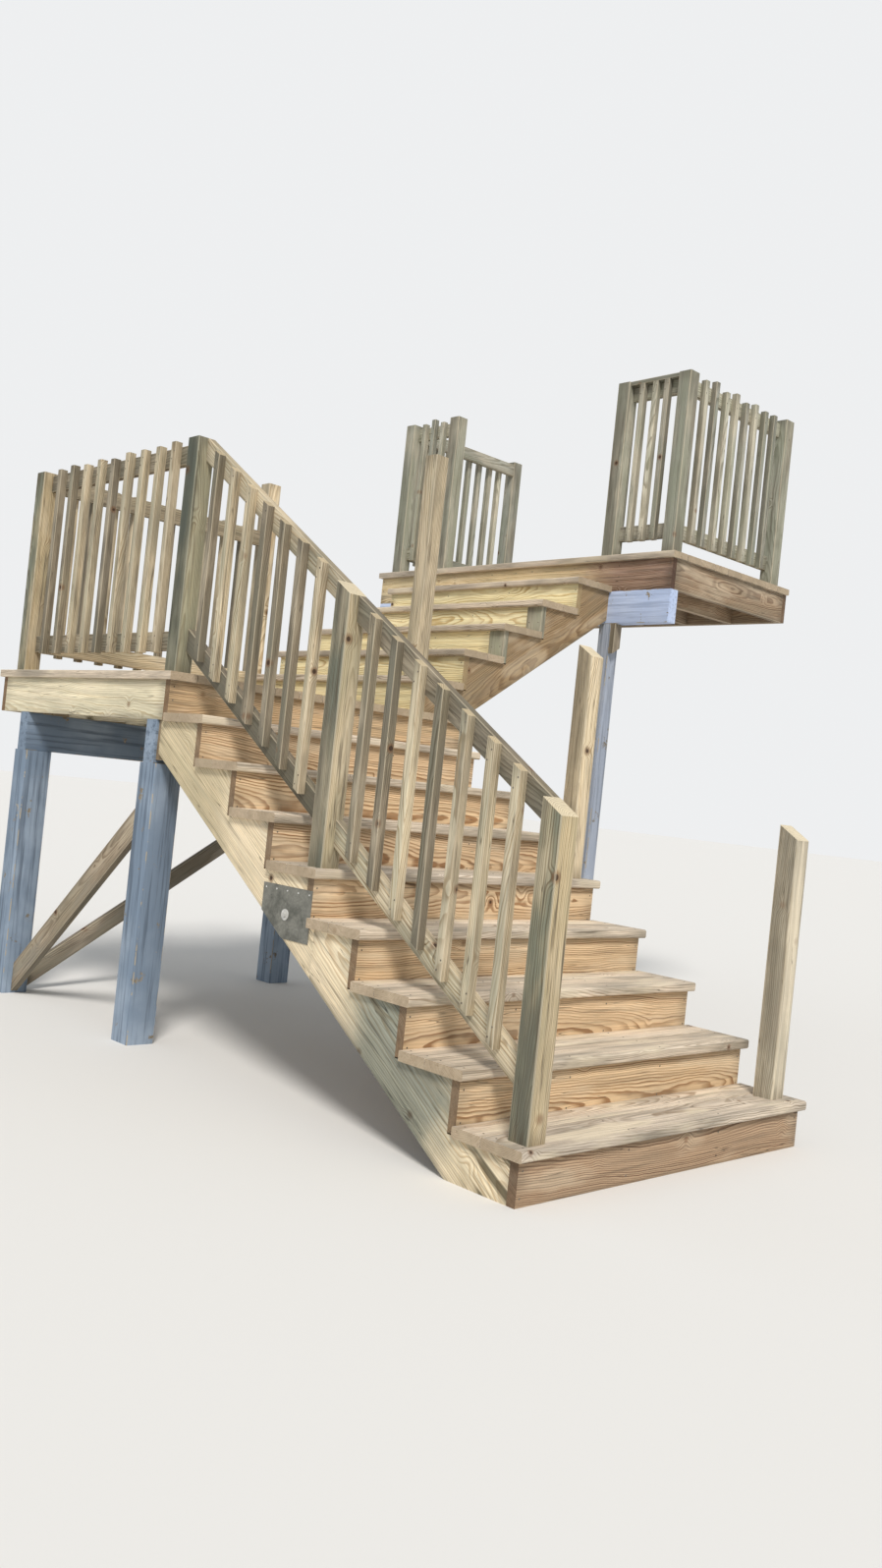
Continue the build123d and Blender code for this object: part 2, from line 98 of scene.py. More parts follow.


# Rounds the long arrises of every board. Then it writes what the finishes read: where each point lies in
# its own board, half the board's size, its own three numbers, and which faces are sawn ends or arrises.
# The second of the numbers says how old the wood looks, and tones gives it one by one, from the lowest up.
def mill(mesh, name, ease=EASE, tones=()):
    grain = mesh.verts.layers.float_vector.new("grain")
    board = mesh.verts.layers.float_vector.new("board")
    half = mesh.verts.layers.float_vector.new("half")
    cut = mesh.faces.layers.float_vector.new("cut")
    mesh.edges.index_update()
    arrises = []
    for faces in parts_of(mesh):
        along = board_axes(faces)[0]
        for edge in {edge.index: edge for face in faces for edge in face.edges}.values():
            direction = (edge.verts[1].co - edge.verts[0].co).normalized()
            if len(edge.link_faces) == 2 and abs(direction.dot(along)) > LENGTHWISE:
                if edge.calc_face_angle_signed() > SHARP_ANGLE:
                    arrises.append(edge)
    eased = bmesh.ops.bevel(
        mesh,
        geom=arrises,
        offset=ease,
        segments=2,
        profile=0.5,
        affect="EDGES",
        material=-1,
        clamp_overlap=True,
    )
    rounded = set(eased["faces"])
    mesh.normal_update()
    mesh.edges.index_update()
    draw = random.Random(name)
    for count, faces in enumerate(parts_of(mesh)):
        along, across, through = board_axes(faces)
        verts = {vert for face in faces for vert in face.verts}
        axes = Matrix((along, across, through))
        placed = [(vert, axes @ vert.co) for vert in verts]
        reach = [[point[i] for _, point in placed] for i in range(3)]
        middle = Vector([(min(values) + max(values)) / 2 for values in reach])
        size = Vector([(max(values) - min(values)) / 2 for values in reach])
        numbers = Vector((draw.random(), draw.random(), draw.random()))
        if tones:
            numbers.y = tones[count % len(tones)]
        for vert, point in placed:
            vert[grain] = point - middle
            vert[board] = numbers
            vert[half] = size
        for face in faces:
            face[cut] = (float(abs(face.normal.dot(along)) > END_FACE), float(face in rounded), 0.0)


# Makes the finished piece from its mesh; it stands for the nodes that are named.
def make_piece(mesh, name, finish, slot, *nodes):
    data = bpy.data.meshes.new(name)
    mesh.to_mesh(data)
    mesh.free()
    data.materials.append(finish)
    data.shade_smooth()
    data.set_sharp_from_angle(angle=SHARP_ANGLE)
    piece = bpy.data.objects.new(name, data)
    bpy.context.scene.collection.objects.link(piece)
    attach(piece, "root")
    if nodes:
        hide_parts(*nodes)


# Copies one node's own shape, with the corners of its faces joined.
def copy_of(node):
    mesh = bmesh.new()
    mesh.from_mesh(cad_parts[node].data)
    bmesh.ops.remove_doubles(mesh, verts=mesh.verts, dist=WELD)
    return mesh


# Dresses one node: its own shape with milled edges.
def dress(node, finish, slot, ease=EASE, tones=()):
    mesh = copy_of(node)
    bmesh.ops.dissolve_limit(mesh, angle_limit=FLAT_ANGLE, verts=mesh.verts, edges=mesh.edges)
    mill(mesh, node, ease, tones)
    make_piece(mesh, "finished_" + node, finish, slot, node)


# Starts a finish with no shader nodes in it.
def blank(name):
    finish = bpy.data.materials.new(name)
    finish.use_nodes = True
    finish.node_tree.nodes.clear()
    return finish


# Adds one shader node, writes or links its inputs, and gives its output, where it has any.
def add(tree, kind, inputs, output=0, **options):
    node = tree.nodes.new("ShaderNode" + kind)
    for key, value in options.items():
        setattr(node, key, value)
    for key, value in inputs.items():
        if isinstance(value, bpy.types.NodeSocket):
            tree.links.new(value, node.inputs[key])
        else:
            node.inputs[key].default_value = value
    return node.outputs[output] if len(node.outputs) else None


# One sum with values that change over the surface.
def calc(tree, operation, *values):
    return add(tree, "Math", dict(enumerate(values)), operation=operation)


# A soft step: start where the value is under low, and end where it is over high.
def ramp(tree, value, low, high, start=0.0, end=1.0):
    inputs = {0: value, 1: low, 2: high, 3: start, 4: end}
    return add(tree, "MapRange", inputs, interpolation_type="SMOOTHSTEP")


# Lays a colour over another one.
def tint(tree, amount, under, over, mode="MIX"):
    return add(tree, "Mix", {0: amount, 6: under, 7: over}, 2, data_type="RGBA", blend_type=mode)


# The three numbers of a vector.
def split(tree, vector):
    return add(tree, "SeparateXYZ", {0: vector}).node.outputs


# One of the things that mill writes on the mesh.
def layer(tree, name):
    return add(tree, "Attribute", {}, "Vector", attribute_name=name)


# Noise drawn out along the board: scale is how fast it changes along, across and through, per metre.
def streaky(tree, place, scale, detail=2.0, rough=0.5, output=0):
    spread = add(tree, "VectorMath", {0: place, 1: scale}, operation="MULTIPLY")
    inputs = {"Vector": spread, "Scale": 1.0, "Detail": detail, "Roughness": rough}
    return add(tree, "TexNoise", inputs, output)


# Ends a finish with its shader.
def coat(tree, surface):
    add(tree, "OutputMaterial", {0: add(tree, "BsdfPrincipled", surface)})


# Finds the shader of a finish, to lay more over it.
def shader_of(finish):
    return next(node for node in finish.node_tree.nodes if node.type == "BSDF_PRINCIPLED")


# A colour in the 0 to 255 of a screen, made linear.
def rgb(red, green, blue):
    channels = [c / 255 for c in (red, green, blue)]
    return [c / 12.92 if c <= 0.04045 else ((c + 0.055) / 1.055) ** 2.4 for c in channels] + [1.0]


WEATHER_GREY = rgb(146, 139, 126)
TREATMENT_GREEN = rgb(146, 150, 124)
# A cast over faces turned to -y, partly damp and partly painted shade.
DAMP_AND_SHADE_CAST = (0.33, 0.44, 0.54, 1.0)
# Rain stains and dark checks, and the painted shade that creeps in at the ends and edges of boards.
RAIN_STAIN_AND_SHADE = rgb(84, 76, 62)
KNOT_BROWN = rgb(116, 76, 44)
KNOT_DARK = rgb(52, 36, 26)
SAWN_BROWN = rgb(130, 106, 78)
WORN_PALE = rgb(234, 220, 192)

# How fast the parts of the figure change along, across and through a board, per metre. YEARS changes
# with the distance from the heart, and from board to board.
BOARD_SHIFT = (19.0, 7.0, 7.0)
SWAY = (1.1, 2.0, 2.0)
WAVE = (3.0, 9.0, 9.0)
RIPPLE = (11.0, 30.0, 30.0)
YEARS = (90.0, 31.0, 0.0)
FIBRE = (14.0, 520.0, 520.0)
STRIPE = (2.6, 120.0, 120.0)
STREAK = (1.3, 34.0, 34.0)
CHECK = (1.6, 48.0, 48.0)
PATCH = (1.8, 7.0, 7.0)
MOSS = (2.4, 9.0, 9.0)
DRIP = (2.6, 66.0, 66.0)

# The log in metres: the gap between its rings, how far its heart lies beside the board and under it, how
# far the heart strays, how the log tapers, and how far knots, waves and lean years push the rings.
RING_GAP = 0.0065
HEART_BESIDE = -0.19
HEART_BESIDE_RANGE = 0.28
HEART_UNDER = 0.02
HEART_UNDER_RANGE = 0.06
STRAY_BESIDE = 0.09
STRAY_UNDER = 0.10
TAPER = 0.022
KNOTS_PER_METRE = 5.0
KNOT_CORE = 0.04
KNOT_REACH = 0.28
KNOT_PUSH = 0.014
WAVE_PUSH = 0.009
RIPPLE_PUSH = 0.0055
YEARS_PUSH = 0.006

# The surface: how wide the mouth of a check is, how far dirt and painted shade creep in from an end, how
# far from an edge as a share of half the width, how far patches cover at full strength, how deep the
# relief is, and how rough and how shiny the wood is.
CHECK_MOUTH = 0.014
END_CREEP = 0.09
EDGE_CREEP = 0.30
COVER = 1.6
RELIEF = 0.0012
ROUGH = 0.68
ROUGH_RANGE = 0.2
SHEEN = 0.28

# The shade of the wood before stripes and fibres, and how much these add to it.
PLAIN_SHADE = 0.65
STRIPE_SHADE = 0.26
FIBRE_SHADE = 0.46

# How dark checks are, how pale the arrises are worn, how far a sawn end hides the figure, and how much
# less it does so on the rings.
CHECK_DARKNESS = 0.7
ARRIS_PALENESS = 0.30
SAWN_COVER = 0.80
SAWN_RINGS = -0.35

# How high fibres and stripes stand and how deep checks are, where late wood stands 1 high.
FIBRE_HEIGHT = 0.7
STRIPE_HEIGHT = 1.2
CHECK_DEPTH = -2.5


# Sawn pine, made as the tree makes it: yearly rings round a heart that wanders along the board, so that
# faces show nested arches and ends show rings, with knots that push the rings aside, fibres, drying checks,
# and the weather. Fresh boards take early and late, older ones old_early and old_late. contrast is how
# strong the rings are, spread how far boards differ in shade, streaks how uneven one board is, knots how
# wide its knots are, and end the colour of a sawn end. Checks open where the streaks are over dry. The
# others say how much there is of grey, green, rain stain and bleaching, of damp with painted shade on the
# faces turned to -y, and of grime with painted shade along the ends and edges of each board.
def pine(
    name,
    early,
    late,
    old_early,
    old_late,
    contrast=0.9,
    spread=0.10,
    streaks=0.42,
    knots=0.08,
    grey=0.2,
    green=0.1,
    stain=0.30,
    damp_and_shade=0.0,
    grime_and_shade=0.35,
    bleach=0.25,
    dry=0.50,
    end=SAWN_BROWN,
):
    finish = blank(name)
    tree = finish.node_tree
    grain = layer(tree, "grain")
    board = layer(tree, "board")
    place = add(tree, "VectorMath", {0: board, 1: BOARD_SHIFT, 2: grain}, operation="MULTIPLY_ADD")
    own = split(tree, board)
    local = split(tree, grain)
    sawn_end, arris = split(tree, layer(tree, "cut"))[:2]

    # Distance from the heart of the log, which wanders along the board and gives way to knots.
    sway = split(tree, streaky(tree, place, SWAY, 1.0, 0.5, "Color"))
    beside = calc(tree, "MULTIPLY_ADD", own[2], HEART_BESIDE_RANGE, HEART_BESIDE)
    under = calc(tree, "MULTIPLY_ADD", own[0], HEART_UNDER_RANGE, HEART_UNDER)
    across = calc(tree, "ADD", local[1], beside)
    across = calc(tree, "MULTIPLY_ADD", sway[0], STRAY_BESIDE, across)
    deep = calc(tree, "ADD", local[2], under)
    deep = calc(tree, "MULTIPLY_ADD", sway[1], STRAY_UNDER, deep)
    radius = calc(tree, "MULTIPLY_ADD", across, across, calc(tree, "MULTIPLY", deep, deep))
    radius = calc(tree, "MULTIPLY_ADD", local[0], TAPER, calc(tree, "SQRT", radius))
    spots = {"Vector": place, "Scale": KNOTS_PER_METRE, "Randomness": 1.0}
    knot = add(tree, "TexVoronoi", spots, feature="F1")
    radius = calc(tree, "ADD", radius, ramp(tree, knot, KNOT_CORE, KNOT_REACH, KNOT_PUSH, 0.0))
    radius = calc(tree, "MULTIPLY_ADD", streaky(tree, place, WAVE, 1.0), WAVE_PUSH, radius)
    radius = calc(tree, "MULTIPLY_ADD", streaky(tree, place, RIPPLE, 1.0), RIPPLE_PUSH, radius)
    years = streaky(tree, add(tree, "CombineXYZ", {0: radius, 1: own[0]}), YEARS, 1.0)
    radius = calc(tree, "MULTIPLY_ADD", years, YEARS_PUSH, radius)
    year = calc(tree, "FRACT", calc(tree, "DIVIDE", radius, RING_GAP))
    dense = calc(tree, "MULTIPLY", ramp(tree, year, 0.30, 0.88), ramp(tree, year, 0.90, 1.0, 1.0, 0.0))

    # Fibres, streaks and checks run along the board.
    fibre = streaky(tree, place, FIBRE, 4.0, 0.65)
    stripe = streaky(tree, place, STRIPE, 2.0, 0.6)
    streak = streaky(tree, place, STREAK, 3.0)
    ridge = calc(tree, "ABSOLUTE", calc(tree, "SUBTRACT", streaky(tree, place, CHECK, 1.0), 0.5))
    open_wood = ramp(tree, streak, dry, dry + 0.12)
    check = calc(tree, "MULTIPLY", ramp(tree, ridge, 0.0, CHECK_MOUTH, 1.0, 0.0), open_wood)

    # Colour of the wood itself, with its age and its shade.
    age = ramp(tree, own[1], 0.30, 0.85)
    line = calc(tree, "MULTIPLY_ADD", streak, contrast, contrast * 0.5)
    line = calc(tree, "MULTIPLY", line, ramp(tree, years, 0.34, 0.66, 0.50, 1.25))
    line = calc(tree, "MULTIPLY", line, dense)
    wood = tint(tree, line, tint(tree, age, early, old_early), tint(tree, age, late, old_late))
    shade = calc(tree, "MULTIPLY_ADD", own[0], spread * 2, PLAIN_SHADE - spread - streaks)
    shade = calc(tree, "MULTIPLY_ADD", streak, streaks * 2, shade)
    shade = calc(tree, "MULTIPLY_ADD", ramp(tree, stripe, 0.27, 0.73), STRIPE_SHADE, shade)
    shade = calc(tree, "MULTIPLY_ADD", fibre, FIBRE_SHADE, shade)
    wood = tint(tree, 1.0, wood, add(tree, "CombineXYZ", {0: shade, 1: shade, 2: shade}), "MULTIPLY")

    # Weather over it: grey patches, the green of the treatment, rain stains, and a cast on the faces turned
    # to -y, partly damp and partly painted shade.
    patch = streaky(tree, place, PATCH, 4.0, 0.6)
    greyed = calc(tree, "MULTIPLY", ramp(tree, patch, 0.42, 0.68), grey * COVER)
    wood = tint(tree, greyed, wood, WEATHER_GREY)
    moss = streaky(tree, place, MOSS, 3.0, 0.55)
    fresh = calc(tree, "MULTIPLY", ramp(tree, moss, 0.40, 0.66), green * COVER)
    wood = tint(tree, fresh, wood, TREATMENT_GREEN)
    bare = calc(tree, "MULTIPLY", ramp(tree, moss, 0.50, 0.34), bleach)
    wood = tint(tree, bare, wood, WORN_PALE)
    facing = split(tree, add(tree, "NewGeometry", {}, "Normal"))[1]
    cast = calc(tree, "MULTIPLY", ramp(tree, facing, -0.3, -0.8), ramp(tree, moss, 0.32, 0.60, 0.45, 1.0))
    wood = tint(tree, calc(tree, "MULTIPLY", cast, damp_and_shade), wood, DAMP_AND_SHADE_CAST, "MULTIPLY")
    drip = ramp(tree, streaky(tree, place, DRIP, 3.0, 0.6), 0.54, 0.70)
    wood = tint(tree, calc(tree, "MULTIPLY", drip, stain), wood, RAIN_STAIN_AND_SHADE)

    # Darker towards the ends and edges of the board: partly dirt and water that creep in, partly painted
    # shade of the kind that gathers where boards meet.
    half = layer(tree, "half")
    inset = add(tree, "VectorMath", {0: grain}, operation="ABSOLUTE")
    inset = split(tree, add(tree, "VectorMath", {0: half, 1: inset}, operation="SUBTRACT"))
    margin = calc(tree, "MULTIPLY", split(tree, half)[1], EDGE_CREEP)
    from_end = ramp(tree, inset[0], 0.0, END_CREEP, 1.0, 0.0)
    from_edge = ramp(tree, inset[1], 0.0, margin, 1.0, 0.0)
    creep_and_shade = calc(tree, "MAXIMUM", from_end, from_edge)
    creep_and_shade = calc(tree, "MULTIPLY", creep_and_shade, ramp(tree, patch, 0.34, 0.60, grime_and_shade * 0.35, grime_and_shade * 1.3))
    wood = tint(tree, creep_and_shade, wood, RAIN_STAIN_AND_SHADE)

    # Knots, checks, sawn ends and worn arrises.
    wood = tint(tree, ramp(tree, knot, knots * 0.7, knots * 1.6, 0.6, 0.0), wood, KNOT_BROWN)
    wood = tint(tree, ramp(tree, knot, knots * 0.55, knots * 0.75, 0.85, 0.0), wood, KNOT_DARK)
    wood = tint(tree, calc(tree, "MULTIPLY", check, CHECK_DARKNESS), wood, RAIN_STAIN_AND_SHADE)
    sawn = calc(tree, "MULTIPLY_ADD", dense, SAWN_RINGS, SAWN_COVER)
    sawn = calc(tree, "MULTIPLY", sawn_end, sawn)
    wood = tint(tree, sawn, wood, end)
    wood = tint(tree, calc(tree, "MULTIPLY", arris, ARRIS_PALENESS), wood, WORN_PALE)

    # Relief: late wood, fibres and stripes stand up, and checks are cut in.
    relief = calc(tree, "MULTIPLY_ADD", fibre, FIBRE_HEIGHT, dense)
    relief = calc(tree, "MULTIPLY_ADD", check, CHECK_DEPTH, relief)
    relief = calc(tree, "MULTIPLY_ADD", stripe, STRIPE_HEIGHT, relief)
    relief = add(tree, "Bump", {"Strength": 0.5, "Distance": RELIEF, "Height": relief})
    dull = calc(tree, "MULTIPLY_ADD", fibre, ROUGH_RANGE, ROUGH)
    coat(tree, {"Base Color": wood, "Roughness": dull, "Normal": relief, "Specular IOR Level": SHEEN})
    return finish


WANDER = 0.30
WANDERS_PER_METRE = 5.0
DIRT_STREAK = (1.4, 30.0, 30.0)


# Gives a finish a stretch of the object, from low x to high x, where another colour shows through, all
# over or, with streaked at 1, only in streaks along the grain. Its ends wander to and fro.
def stretch_of(finish, low, high, blur, amount, colour, streaked=0.0):
    tree = finish.node_tree
    shader = shader_of(finish)
    wood = shader.inputs["Base Color"].links[0].from_socket
    place = add(tree, "TexCoord", {}, "Object")
    edge = add(tree, "TexNoise", {"Vector": place, "Scale": WANDERS_PER_METRE, "Detail": 4.0})
    x = calc(tree, "ADD", split(tree, place)[0], -WANDER / 2)
    x = calc(tree, "MULTIPLY_ADD", edge, WANDER, x)
    after = ramp(tree, x, low, low + blur, 0.0, amount)
    inside = calc(tree, "MULTIPLY", after, ramp(tree, x, high - blur, high, 1.0, 0.0))
    dirt = streaky(tree, layer(tree, "grain"), DIRT_STREAK, 3.0)
    runs = ramp(tree, dirt, 0.40, 0.56, 1.0 - streaked, 1.0)
    inside = calc(tree, "MULTIPLY", inside, runs)
    stretched = tint(tree, inside, wood, colour, "MULTIPLY")
    tree.links.new(stretched, shader.inputs["Base Color"])


CREAM = rgb(246, 229, 196)
CREAM_LINE = rgb(198, 168, 126)
# Painted shade over two stretches of the left stringer, blue-grey on one and grey on the other; the foot
# gets streaked dirt.
TREE_SHADE_STRETCH = (1.22, 2.06)
PAINTED_SHADE_BLUE = rgb(148, 164, 176)
SHADED_STRETCH = (-0.6, 0.60)
SHADED_GREY = rgb(196, 196, 182)
DIRTY_FOOT = (1.98, 2.60)
FOOT_DIRT = rgb(116, 114, 104)
left_stringer_wood = pine(
    "left_stringer_pine",
    early=CREAM,
    late=CREAM_LINE,
    old_early=CREAM,
    old_late=CREAM_LINE,
    contrast=0.6,
    streaks=0.28,
    grey=0.16,
    green=0.10,
    stain=0.50,
    dry=0.46,
)
# The first two stretches are painted shade, the last one is dirt at the foot.
stretch_of(left_stringer_wood, *TREE_SHADE_STRETCH, blur=0.28, amount=0.90, colour=PAINTED_SHADE_BLUE)
stretch_of(left_stringer_wood, *SHADED_STRETCH, blur=0.30, amount=0.55, colour=SHADED_GREY)
stretch_of(left_stringer_wood, *DIRTY_FOOT, blur=0.12, amount=0.95, colour=FOOT_DIRT, streaked=1.0)
stringer_wood = pine(
    "stringer_pine",
    early=rgb(204, 176, 136),
    late=rgb(150, 114, 76),
    old_early=rgb(158, 132, 98),
    old_late=rgb(112, 84, 56),
    contrast=0.65,
    grey=0.18,
    green=0.08,
)
for node in ("lower_stringer_left_foot", "lower_stringer_left_head"):
    dress(node, left_stringer_wood, "stringer_pine")
for node in ("lower_stringer_right", "lower_stringers_middle"):
    dress(node, stringer_wood, "stringer_pine")


# Splice of the left stringer
# A dull galvanised plate over the joint of the two lengths, nailed along its top edge and held by one bolt
# on a bright washer, with a wood cleat behind it along the lower edge.
SPANGLES_PER_METRE = 130.0
CLOUDS_PER_METRE = 11.0
ZINC_RELIEF = 0.0006


# Galvanised steel: zinc in small flakes, with dark clouds where it has weathered.
def zinc(name, base, dark, metal):
    finish = blank(name)
    tree = finish.node_tree
    place = add(tree, "TexCoord", {}, "Object")
    spangle = add(tree, "TexVoronoi", {"Vector": place, "Scale": SPANGLES_PER_METRE}, "Color")
    cloudy = {"Vector": place, "Scale": CLOUDS_PER_METRE, "Detail": 6.0, "Roughness": 0.62}
    stain = add(tree, "TexNoise", cloudy)
    flake = split(tree, spangle)[0]
    colour = tint(tree, calc(tree, "MULTIPLY", flake, 0.4), base, dark)
    colour = tint(tree, ramp(tree, stain, 0.42, 0.66), colour, dark)
    rough = calc(tree, "MULTIPLY_ADD", stain, 0.35, 0.38)
    relief = add(tree, "Bump", {"Strength": 0.25, "Distance": ZINC_RELIEF, "Height": stain})
    coat(tree, {"Base Color": colour, "Roughness": rough, "Metallic": metal, "Normal": relief})
    return finish


# Puts a round head at a spot, with its flat side on a face that looks the way of facing.
def head(mesh, spot, facing, radius, height, sides=8, taper=0.7):
    turn = Vector(facing).to_track_quat("Z", "Y").to_matrix().to_4x4()
    place = Matrix.Translation(spot) @ turn
    bmesh.ops.create_cone(
        mesh,
        cap_ends=True,
        segments=sides,
        radius1=radius,
        radius2=radius * taper,
        depth=height * 2,
        matrix=place,
    )


FRONT = (0, -1, 0)
NAIL = 0.0045
NAIL_HEIGHT = 0.0008
WASHER = 0.023
WASHER_HEIGHT = 0.0025
BOLT_HEAD = 0.011
BOLT_HEIGHT = 0.009
BOLT_UP = 0.095
PLATE_EASE = 0.0006
PLATE_EDGE = 0.018
PLATE_NAILS = 5
plate_zinc = zinc("plate_zinc", rgb(134, 133, 124), rgb(84, 85, 78), metal=0.35)
nail_zinc = zinc("nail_zinc", rgb(128, 122, 110), rgb(86, 76, 64), metal=0.55)
bright_zinc = zinc("bright_zinc", rgb(224, 224, 220), rgb(186, 184, 178), metal=0.4)
old_wood = pine(
    "old_timber",
    early=rgb(164, 148, 126),
    late=rgb(104, 84, 62),
    old_early=rgb(138, 126, 110),
    old_late=rgb(88, 74, 58),
    contrast=0.7,
    grey=0.5,
    stain=0.5,
    end=rgb(112, 98, 80),
)
dress("stringer_splice_plate", plate_zinc, "galvanised_steel", PLATE_EASE)
dress("stringer_splice_cleat", old_wood, "weathered_timber")
plate_low, plate_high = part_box("stringer_splice_plate")
mesh = bmesh.new()
for i in range(PLATE_NAILS):
    share = i / (PLATE_NAILS - 1)
    x = plate_low.x + PLATE_EDGE + share * (plate_high.x - plate_low.x - 2 * PLATE_EDGE)
    head(mesh, (x, plate_low.y, plate_high.z - PLATE_EDGE), FRONT, NAIL, NAIL_HEIGHT)
make_piece(mesh, "plate_nails", bright_zinc, "galvanised_steel")
mesh = bmesh.new()
bolt = Vector(((plate_low.x + plate_high.x) / 2, plate_low.y, plate_low.z + BOLT_UP))
head(mesh, bolt, FRONT, WASHER, WASHER_HEIGHT, sides=24, taper=0.96)
head(mesh, bolt, FRONT, BOLT_HEAD, BOLT_HEIGHT, sides=6, taper=0.92)
make_piece(mesh, "plate_bolt", bright_zinc, "galvanised_steel")


# Treads and risers of both flights
# Each tread is a wide board with a rounded nose and a narrower one behind it, bleached and streaked by feet
# and rain. The risers are fresher and show amber arches. Screws go through both into every stringer.
tread_wood = pine(
    "tread_pine",
    early=rgb(234, 218, 196),
    late=rgb(184, 162, 138),
    old_early=rgb(214, 200, 182),
    old_late=rgb(162, 144, 124),
    streaks=0.60,
    knots=0.06,
    grey=0.36,
    green=0.03,
    stain=0.45,
    grime_and_shade=0.20,
    bleach=0.60,
    end=rgb(170, 150, 122),
)
riser_wood = pine(
    "riser_pine",
    early=rgb(233, 204, 164),
    late=rgb(164, 125, 87),
    old_early=rgb(180, 152, 123),
    old_late=rgb(110, 81, 59),
    contrast=1.0,
    grey=0.06,
    green=0.02,
    stain=0.30,
    grime_and_shade=0.25,
    end=rgb(92, 72, 54),
)
# A paler, yellower copy of the riser finish for the upper flight, partly painted sunlight.
sunlit_upper_riser_wood = pine(
    "sunlit_upper_riser_pine",
    early=rgb(250, 237, 190),
    late=rgb(204, 176, 120),
    old_early=rgb(234, 219, 168),
    old_late=rgb(176, 148, 96),
    grey=0.08,
    green=0.06,
    grime_and_shade=0.20,
    end=rgb(132, 104, 74),
)
STEP_EASE = 0.0025

# How old each board looks, from 0 for fresh to 1 for old, from the lowest board up.
LOWER_RISERS_AGE = (0.85, 0.1, 0.46, 0.40, 0.44, 0.52, 0.38, 0.48)
UPPER_RISERS_AGE = (0.4, 0.1, 0.2, 0.1, 0.2)
LOWER_TREADS_AGE = (0.5, 0.9, 0.3, 0.1, 0.6, 0.3, 0.2, 0.5)
dress("lower_treads", tread_wood, "tread_pine", STEP_EASE, LOWER_TREADS_AGE)
dress("upper_treads", tread_wood, "tread_pine", STEP_EASE)
dress("lower_risers", riser_wood, "riser_pine", STEP_EASE, LOWER_RISERS_AGE)
dress("upper_risers", sunlit_upper_riser_wood, "riser_pine", STEP_EASE, UPPER_RISERS_AGE)


# Boxes of all the boards of some nodes.
def boards_of(*nodes):
    boxes = []
    for node in nodes:
        mesh = copy_of(node)
        boxes += [corners_of(faces) for faces in parts_of(mesh)]
        mesh.free()
    return boxes


# The side of a board that its heads are on: an axis, where x is 0, y is 1 and z is 2, and a sign.
ON_LEFT = (0, -1)
ON_RIGHT = (0, 1)
ON_FRONT = (1, -1)
ON_TOP = (2, 1)
SCREW_SHARES = (0.2, 0.8)

# In metres: how far a board and its carrier cross at least, how near they lie, how far the hand strays
# from the mark, and how close two heads may come.
CROSSING = 0.02
TOUCH = 0.002
HAND = 0.003
APART = 0.02
hand = random.Random("nails")


# Drives heads through each board into each piece that it crosses, at shares of the board's width.
def fasten(mesh, boards, carriers, face, shares=SCREW_SHARES):
    axis, side = face
    flat = [i for i in range(3) if i != axis]
    facing = Vector((0, 0, 0))
    facing[axis] = side
    for low, high in boards:
        wide = min(flat, key=lambda i: high[i] - low[i])
        driven = []
        for under_low, under_high in carriers:
            start = [max(a, b) for a, b in zip(low, under_low)]
            stop = [min(a, b) for a, b in zip(high, under_high)]
            reach = [b - a for a, b in zip(start, stop)]
            if reach[axis] < -TOUCH or min(reach[i] for i in flat) < CROSSING:
                continue
            for share in shares:
                spot = Vector([(a + b) / 2 for a, b in zip(start, stop)])
                spot[wide] = low[wide] + share * (high[wide] - low[wide])
                if any((spot - other).length < APART for other in driven):
                    continue
                driven.append(spot.copy())
                for i in flat:
                    spot[i] += hand.uniform(-HAND, HAND)
                spot[axis] = high[axis] if side > 0 else low[axis]
                head(mesh, spot, facing, NAIL, NAIL_HEIGHT)


lower_stringers = boards_of(
    "lower_stringer_left_foot", "lower_stringer_left_head", "lower_stringer_right", "lower_stringers_middle"
)
upper_stringers = boards_of("upper_stringer_left", "upper_stringer_right", "upper_stringers_middle")
mesh = bmesh.new()
fasten(mesh, boards_of("lower_treads"), lower_stringers, ON_TOP)
fasten(mesh, boards_of("lower_risers"), lower_stringers, ON_RIGHT)
fasten(mesh, boards_of("upper_treads"), upper_stringers, ON_TOP)
fasten(mesh, boards_of("upper_risers", "upper_riser_end_blocks"), upper_stringers, ON_FRONT)
make_piece(mesh, "stair_screws", nail_zinc, "galvanised_steel")


# Upper flight
# Its stringers stand on the landing and butt the deck's beam. Two risers came out short and were pieced
# out with greenish offcuts at their right end.

# Ages for boards that are all alike.
FRESH = 0.1
OLD = 0.9
block_wood = pine(
    "offcut_pine",
    early=rgb(188, 184, 162),
    late=rgb(142, 136, 112),
    old_early=rgb(174, 172, 152),
    old_late=rgb(130, 124, 104),
    contrast=0.6,
    grey=0.3,
    green=0.3,
    stain=0.5,
)
for node in ("upper_stringer_left", "upper_stringer_right", "upper_stringers_middle"):
    dress(node, stringer_wood, "stringer_pine", tones=(OLD,))
dress("upper_riser_end_blocks", block_wood, "newel_pine")


# Landing and deck framing
# Two-inch rims and joists nailed together, with decking screwed over them, ripped to fit and gapped to
# shed water. The rims of the landing's ends are pale, partly bleached and partly painted sunlight. The
# deck's are darker, partly as painted shade, and the front one is pale where it stands as the last riser
# of the upper flight and turns browner with painted shade past the flight's right end.
RIM_END = rgb(96, 72, 52)
RIM_SHADE_BROWN = rgb(184, 170, 184)

# In metres: how far before the flight's right end the front rim starts to turn brown with painted shade,
# and how far past that end the brown reaches, which is beyond the rim's own end.
RIM_BLEND = 0.45
PAST_RIM = 3.0
